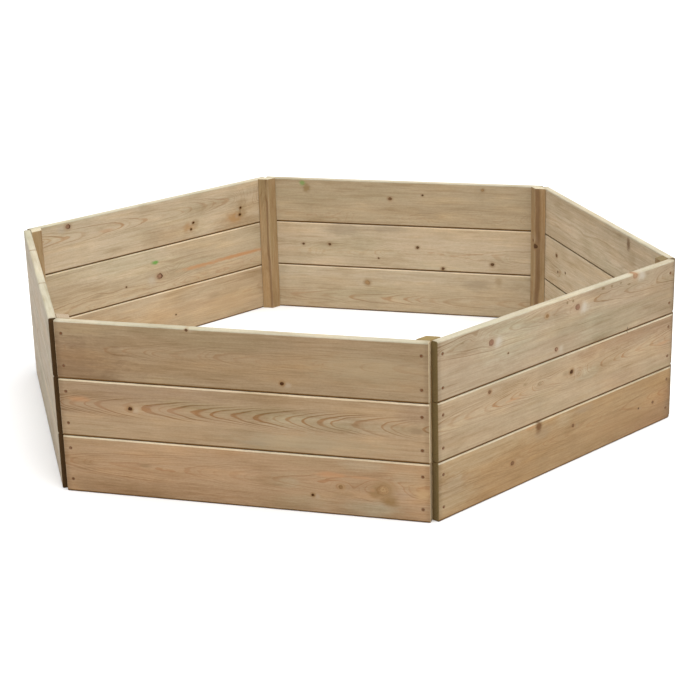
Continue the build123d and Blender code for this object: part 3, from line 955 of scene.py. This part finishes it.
# Places are mm from a board's left end, seen from outside the frame, and from its lower edge.
# A knot is (x, z, radius, kind), a swirl (x, z, half length, half height, lift), and a wash or
# a mark (x, z, half length, half height, colour, amount).
BOARDS = {
    "front_top": dict(
        tone=GREY_TAN, pith=(50, 78), taper=-0.03, contrast=0.5, green=0.35, warm=0.35, waviness=0.45,
        ring=1.5,
        knots=[(558, 25, 3.8, "dead"), (332, 139, 3.0, "pin")],
        # The wash over the left end is painted shade.
        washes=[(0, 30, 240, 110, SHADE_DUSK, 1.0)],
        marks=[(760, 70, 180, 55, MOSS, 0.35)]),
    "front_middle": dict(
        tone=MID_TAN, pith=(50, 83), taper=-0.05, contrast=1.7, green=0.6, warm=0.25, waviness=0.3,
        ring=2.1, fade=(13, 30, 0.12), late_tint=(0.77, 0.56, 0.41),
        knots=[(180, 80, 4.0, "dead")],
        washes=[(180, 125, 360, 36, DUN, 1.0), (870, 118, 60, 30, DUN, 0.9),
                (60, 80, 180, 50, DUN, 0.5), (660, 78, 190, 30, BUFF, 1.0),
                (610, 77, 130, 24, BLOND, 0.5)],
        marks=[(100, 86, 120, 30, DUN, 0.35), (50, 96, 40, 9, ORANGE, 0.6), (270, 80, 75, 24, DUN, 0.4),
               (620, 30, 260, 28, MOSS, 0.4), (480, 18, 60, 8, GREY, 0.35),
               (872, 78, 26, 12, BROWN, 0.4)]),
    "front_bottom": dict(
        tone=WARM_TAN, pith=(50, 76), taper=-0.032, contrast=0.62, green=0.35, warm=0.5, waviness=0.5,
        # Its sawn ends are less pale than the other front boards': less painted highlight, as they lie
        # in shade.
        ring=1.7, arris=0.6, end_tone=(0.36, 0.27, 0.165),
        knots=[(622, 45, 3.2, "dead"), (690, 71, 4.6, "tan"), (790, 72, 12.5, "amber")],
        swirls=[(776, 75, 34, 20, 8), (690, 73, 20, 12, 4)],
        washes=[(100, 12, 450, 50, EMBER, 0.7), (745, 130, 75, 22, BUFF, 0.8),
                (755, 22, 100, 32, BUFF, 1.0), (780, 20, 50, 26, CREAM, 0.4),
                (850, 100, 60, 34, BUFF, 0.5), (560, 74, 50, 24, BUFF, 0.6),
                (600, 26, 90, 26, BUFF, 0.4)],
        marks=[(665, 99, 48, 9, ORANGE, 0.6), (735, 98, 50, 5, ORANGE, 0.4),
               (808, 47, 30, 20, SMEAR, 0.8), (772, 60, 22, 13, SMEAR, 0.6),
               (766, 70, 9, 7, ORANGE, 0.6), (694, 70, 15, 11, RUSSET, 0.65),
               (884, 70, 26, 18, AMBER, 0.75), (205, 82, 26, 7, OLIVE, 0.45),
               (690, 52, 45, 10, OLIVE, 0.3)]),
    "front_right_top": dict(
        tone=GREEN_TAN, pith=(45, 112), taper=-0.03, contrast=0.9, green=0.5, warm=0.2, waviness=0.4,
        ring=1.5, late_tint=(0.74, 0.6, 0.47),
        knots=[(182, 98, 7.0, "pink"), (383, 114, 4.2, "tan"), (499, 109, 7.5, "pink"),
               (731, 139, 7.5, "peach"), (419, 22, 4.8, "ringed"), (241, 57, 2.2, "pin")],
        swirls=[(472, 133, 16, 12, 4.5), (612, 138, 14, 14, 4), (650, 138, 14, 14, 4),
                (690, 134, 16, 14, 4), (790, 122, 30, 18, 7), (130, 124, 16, 12, 5)],
        washes=[(240, 90, 160, 75, CREAM, 0.8), (570, 80, 70, 40, CREAM, 0.5),
                (880, 50, 170, 110, OLIVE_TAN, 0.9), (50, 120, 60, 32, CREAM, 0.7),
                (580, 120, 60, 26, OLIVE_TAN, 0.7), (550, 28, 70, 30, CREAM, 0.5)],
        marks=[(703, 3, 2.2, 10, DARK, 0.8), (82, 120, 10, 3, OLIVE, 0.6), (598, 134, 8, 5, OLIVE, 0.9),
               (634, 132, 7, 5, OLIVE, 0.9), (670, 132, 7, 4, OLIVE, 0.9), (704, 122, 9, 3, OLIVE, 0.9),
               (458, 129, 6, 6, OLIVE, 0.9), (480, 129, 5, 5, OLIVE, 0.9)]),
    "front_right_middle": dict(
        tone=BUFF, pith=(45, 86), taper=-0.032, contrast=0.95, green=0.5, warm=0.3, waviness=0.3,
        ring=1.6,
        knots=[(176, 124, 4.0, "brown"), (479, 94, 5.0, "dead")],
        swirls=[(302, 111, 20, 12, 5), (360, 97, 20, 12, -5), (510, 84, 26, 15, 6)],
        washes=[(850, 135, 450, 45, DUN, 1.0), (880, 60, 80, 60, DUN, 0.5),
                (550, 122, 60, 22, DUN, 0.6), (550, 74, 60, 22, CREAM, 0.9),
                (670, 24, 120, 28, DUN, 0.5)],
        marks=[(303, 108, 12, 6, OLIVE, 0.5), (358, 95, 14, 6, OLIVE, 0.5),
               (455, 96, 18, 10, OLIVE, 0.4), (508, 83, 8, 6, OLIVE, 0.4),
               (255, 82, 34, 4, ORANGE, 0.5), (703, 142, 2.2, 6, DARK, 0.8),
               (860, 74, 40, 5, ORANGE, 0.4)]),
    "front_right_bottom": dict(
        tone=BROWN_TAN, pith=(50, 82), taper=-0.03, contrast=0.5, green=0.25, warm=0.45, waviness=0.5,
        ring=1.6,
        knots=[(489, 95, 4.2, "brown"), (258, 66, 5.5, "brown"), (824, 64, 3.8, "brown"),
               (761, 64, 2.6, "pin")],
        washes=[(160, 122, 270, 38, FAIR, 1.0), (452, 125, 50, 28, FAIR, 1.0),
                (40, 50, 110, 60, FAIR, 1.0), (900, 18, 320, 60, EMBER, 1.0),
                # The darkest wash at the right end is painted shade.
                (900, 60, 120, 50, EMBER, 0.7), (900, 60, 40, 80, SHADE_DUSK, 0.6),
                (50, 74, 60, 36, BUFF, 0.8), (690, 55, 160, 50, EMBER, 0.35)],
        marks=[(372, 112, 40, 22, GREY, 0.28), (325, 136, 24, 5, ORANGE, 0.5),
               (356, 132, 16, 24, BARK, 1.0), (530, 128, 50, 14, GREY, 0.35),
               (700, 50, 200, 40, RUSSET, 0.35)]),
    "back_right_top": dict(
        tone=SHADE_FILL_TAN, pith=(-40, 60), taper=0.006, contrast=0.7, green=0.3, warm=0.3,
        washes=[(500, 60, 480, 45, CHALK, 0.8), (550, 138, 550, 30, SHADE_FILL_DUN, 0.9),
                (760, 22, 200, 34, SHADE_FILL_DUN, 0.8)],
        marks=[(250, 120, 15, 24, BROWN, 0.85), (225, 85, 40, 24, UMBER, 0.35)]),
    "back_right_middle": dict(
        tone=SHADE_FILL_TAN, pith=(-35, 50), taper=-0.006, contrast=0.7, green=0.3, warm=0.3,
        knots=[(772, 101, 5.0, "brown"), (700, 64, 3.2, "pin"), (760, 52, 3.0, "pin")]),
    "back_top": dict(
        tone=DULL_TAN, pith=(-45, 30), taper=0.03, contrast=0.4, green=0.3, warm=0.25, ring=1.6,
        knots=[(486, 88, 4.5, "brown"), (380, 103, 3.0, "pin"), (187, 126, 3.2, "amber")],
        marks=[(776, 130, 14, 12, CRAYON_GREEN, 0.65), (762, 114, 17, 19, UMBER, 0.9),
               (360, 40, 50, 20, GREY, 0.25)]),
    "back_middle": dict(
        tone=PALE_TAN, pith=(-40, 55), taper=0.03, contrast=0.45, green=0.35, warm=0.3, ring=1.8,
        knots=[(779, 72, 3.4, "pin"), (690, 74, 4.0, "pin"), (398, 76, 3.8, "small"),
               (315, 10, 4.0, "small"), (156, 31, 4.6, "small"), (527, 35, 2.6, "pin")],
        washes=[(220, 90, 200, 45, IVORY, 0.75)],
        marks=[(645, 126, 80, 30, GREY, 0.42), (500, 134, 90, 18, GREY, 0.42),
               (300, 125, 60, 10, GREY, 0.2)]),
    "back_bottom": dict(
        tone=PALE_GREY, pith=(-32, 48), taper=0.028, contrast=0.85, green=0.35, warm=0.3, waviness=0.4,
        ring=2.2, fade=(10, 34, 0.15),
        knots=[(566, 96, 6.0, "amber")],
        washes=[(550, 125, 550, 34, SILVER, 0.6), (500, 10, 500, 30, PALE_WARM, 0.3)],
        marks=[(205, 104, 60, 26, GREY, 0.42), (135, 118, 16, 20, UMBER, 0.45)]),
    "back_left_top": dict(
        tone=PALE_TAN, pith=(-32, 98), taper=-0.03, contrast=1.15, green=0.3, warm=0.35, waviness=0.45,
        ring=2.0, fade=(12, 40, 0.15), late_tint=(0.76, 0.56, 0.4),
        knots=[(773, 128, 6.5, "ringed"), (307, 51, 3.2, "dead"), (317, 32, 3.0, "dead"),
               (112, 64, 3.2, "dead"), (116, 42, 3.6, "dead")],
        swirls=[(75, 100, 40, 34, 16)],
        washes=[(730, 70, 260, 100, IVORY, 0.9), (140, 25, 120, 40, PALE_WARM, 0.9),
                (400, 28, 170, 50, PALE_WARM, 0.75)],
        marks=[(326, 40, 30, 20, HONEY, 0.65), (296, 50, 18, 20, UMBER, 0.4),
               (138, 36, 40, 24, HONEY, 0.8), (108, 52, 28, 34, UMBER, 0.55),
               (114, 54, 2.2, 14, DARK, 0.7), (105, 85, 30, 12, UMBER, 0.35),
               (640, 91, 40, 7, ORANGE, 0.4)]),
    "back_left_middle": dict(
        tone=PALE_GREY, pith=(-50, 20), taper=0.004, contrast=0.8, green=0.4, warm=0.25,
        knots=[(451, 53, 8.5, "ringed"), (580, 46, 2.8, "pin")],
        swirls=[(400, 62, 50, 30, 13)],
        washes=[(580, 115, 240, 50, IVORY, 0.9), (150, 12, 340, 38, PALE_WARM, 0.8)],
        marks=[(290, 53, 100, 9, STREAK, 0.9), (120, 55, 180, 9, STREAK, 1.0),
               (465, 99, 18, 8.5, CRAYON_GREEN, 0.95), (690, 40, 30, 6, OLIVE, 0.3)]),
    "back_left_bottom": dict(
        tone=PALE_WARM, pith=(-55, 70), taper=0.02, contrast=0.35, green=0.25, warm=0.5,
        knots=[(397, 60, 2.6, "pin")],
        washes=[(440, 118, 300, 44, BLOND, 0.9), (540, 50, 80, 50, BLOND, 0.8)],
        marks=[(240, 88, 40, 10, OLIVE, 0.25), (180, 50, 140, 40, AMBER, 0.35)]),
    "front_left_top": dict(
        tone=SHADE_FILL_GREY, pith=(40, 60), taper=-0.02, contrast=0.5,
        marks=[(240, 143, 6, 8, BROWN, 0.7), (584, 143, 6, 8, BROWN, 0.7)]),
    "front_left_middle": dict(
        tone=SHADE_FILL_GREY, pith=(50, 80), taper=0.02, contrast=0.5,
        knots=[(315, 82, 5.0, "brown"), (640, 52, 3.5, "dead")]),
    "front_left_bottom": dict(
        tone=SHADE_FILL_GREY, pith=(45, 40), taper=-0.02, contrast=0.5,
        knots=[(205, 66, 5.5, "pink"), (512, 101, 3.0, "pin")]),
}


def board_grain(side, layer):
    """A board's figure: chosen for the boards with a marked one, else drawn at random."""
    key = f"{SIDES[side]}_{LAYERS[layer]}"
    if key in BOARDS:
        return BOARDS[key]
    rng = np.random.default_rng(700 + side * 10 + layer)
    knots = []
    for _ in range(rng.integers(2, 6)):
        kind = str(rng.choice(["dead", "brown", "pink", "pin", "pin"]))
        radius = {"dead": 3.5, "brown": 5.5, "pink": 7.5, "pin": 2.4}[kind] * rng.uniform(0.8, 1.2)
        knots.append((rng.uniform(80, 820), rng.uniform(20, 125), radius, kind))
    # The fallback tone is the paler copy for faces in shade: painted light.
    return dict(tone=SHADE_FILL_TAN, knots=knots, contrast=0.8,
                pith=(rng.uniform(30, 70), rng.uniform(30, 110)),
                taper=rng.uniform(-0.02, 0.02), warm=rng.uniform(0.2, 0.5))


POST_TONE = (0.43, 0.30, 0.163)
PALE_END = (0.56, 0.50, 0.36)
BROWN_END = (0.27, 0.20, 0.085)
DARK_END = (0.20, 0.15, 0.075)
TAN_END = (0.385, 0.305, 0.215)
# Each post's end grain, its heartwood streak (place across and into the post, width, amount)
# and its knots (height, place across, radius, kind), with lengths in mm.
POSTS = {
    "front_right": (BROWN_END, None, []),
    "right": (DARK_END, (-10, 10, 6, 0.5), []),
    "back_right": (PALE_END, (9, 13, 11, 0.60), [(250, 2, 6.0, "small"), (266, -10, 3.5, "brown")]),
    "back_left": (PALE_END, (-4, 15, 5, 0.55), []),
    "left": (PALE_END, (12, 10, 9, 0.8), [(350, 8, 4.0, "brown")]),
    "front_left": (TAN_END, None, []),
}
# How strong the painted highlight on each side's upper arrises is, and the tone of its sawn ends where
# it isn't the usual.
SIDE_ARRIS = {"front": 0.85, "front_right": 0.25, "back_right": 0.6, "back": 0.9,
              "back_left": 0.8, "front_left": 0.15}
# The front side's sawn ends are paler, a painted highlight where the light from the right falls on
# them; the front left side's are near black, a painted shadow in the gap at their corner.
SIDE_ENDS = {"front": (0.50, 0.40, 0.255), "front_left": (0.062, 0.033, 0.011),
             "front_right": (0.160, 0.112, 0.045)}


def build():
    """Every piece of the object with its material."""
    steel = nail_material()
    for side, side_name in enumerate(SIDES):
        for layer, layer_name in enumerate(LAYERS):
            board = board_piece(side, layer)
            look = dict(arris=SIDE_ARRIS[side_name], end_tone=SIDE_ENDS.get(side_name, END_TONE),
                        board_top=1.0 if layer_name == "top" else 0.0)
            look.update(board_grain(side, layer))
            board.data.materials.append(wood_material(
                f"{side_name}_{layer_name}_timber", 3.1 + 7.3 * side + 2.9 * layer, **look))
            nails_piece(side, layer).data.materials.append(steel)
    for corner, label in enumerate(CORNERS):
        post = post_piece(corner)
        end_tone, streak, knots = POSTS[label]
        post.data.materials.append(wood_material(
            f"post_{label}_timber", 60.7 + 4.1 * corner, POST_TONE, pith=(-50, 20), taper=0.012,
            contrast=0.7, ring=2.6, end_tone=end_tone, streak=streak, knots=knots))


# -------- studio
FLOOR_SIZE = 60.0
FLOOR_TONE = (0.90, 0.90, 0.90, 1)
FLOOR_ROUGHNESS = 0.9
SKY_TONE = (1.0, 1.0, 1.0, 1)
SKY_LIGHT = 0.37
SUN_LIGHT = 4.05
SUN_WIDTH = math.radians(70)
SUN_PLACE = Vector((0.19, -0.13, 1.0))  # direction in which the soft light stands
CAMERA_PLACE = (1.202, -4.057, 1.526)
CAMERA_DOWN = math.radians(18.32)
CAMERA_LEFT = math.radians(15.96)
CAMERA_ROLL = math.radians(-1.54)
CAMERA_LENS = 82.5
CAMERA_SENSOR = 36.0


def studio():
    """A plain pale floor under a white sky, with a very wide soft light from above and the right."""
    mesh = bpy.data.meshes.new("studio_floor")
    s = FLOOR_SIZE / 2
    mesh.from_pydata([(-s, -s, 0), (s, -s, 0), (s, s, 0), (-s, s, 0)], [], [(0, 1, 2, 3)])
    floor = linked("studio_floor", mesh)
    paint = bpy.data.materials.new("studio_paint")
    paint.use_nodes = True
    shader = paint.node_tree.nodes["Principled BSDF"]
    shader.inputs["Base Color"].default_value = FLOOR_TONE
    shader.inputs["Roughness"].default_value = FLOOR_ROUGHNESS
    shader.inputs["Specular IOR Level"].default_value = 0.0
    mesh.materials.append(paint)

    world = bpy.data.worlds.new("studio_air")
    bpy.context.scene.world = world
    world.use_nodes = True
    world.node_tree.nodes["Background"].inputs["Color"].default_value = SKY_TONE
    world.node_tree.nodes["Background"].inputs["Strength"].default_value = SKY_LIGHT

    light = bpy.data.lights.new("overhead_light", "SUN")
    light.energy = SUN_LIGHT
    light.angle = SUN_WIDTH
    lamp = linked("overhead_light", light)
    lamp.rotation_euler = (-SUN_PLACE).to_track_quat("-Z", "Y").to_euler()
    bpy.context.scene.view_settings.view_transform = "Standard"


def camera():
    """A long lens from the front and to the right, a little above the frame."""
    turn = (Matrix.Rotation(CAMERA_LEFT, 3, "Z") @ Matrix.Rotation(math.pi / 2 - CAMERA_DOWN, 3, "X")
            @ Matrix.Rotation(CAMERA_ROLL, 3, "Z"))
    data = bpy.data.cameras.new("photo_camera")
    data.sensor_width = CAMERA_SENSOR
    data.lens = CAMERA_LENS
    obj = linked("photo_camera", data)
    obj.matrix_world = Matrix.Translation(CAMERA_PLACE) @ turn.to_4x4()
    bpy.context.scene.camera = obj


camera()
studio()
build()

bpy.context.view_layer.update()
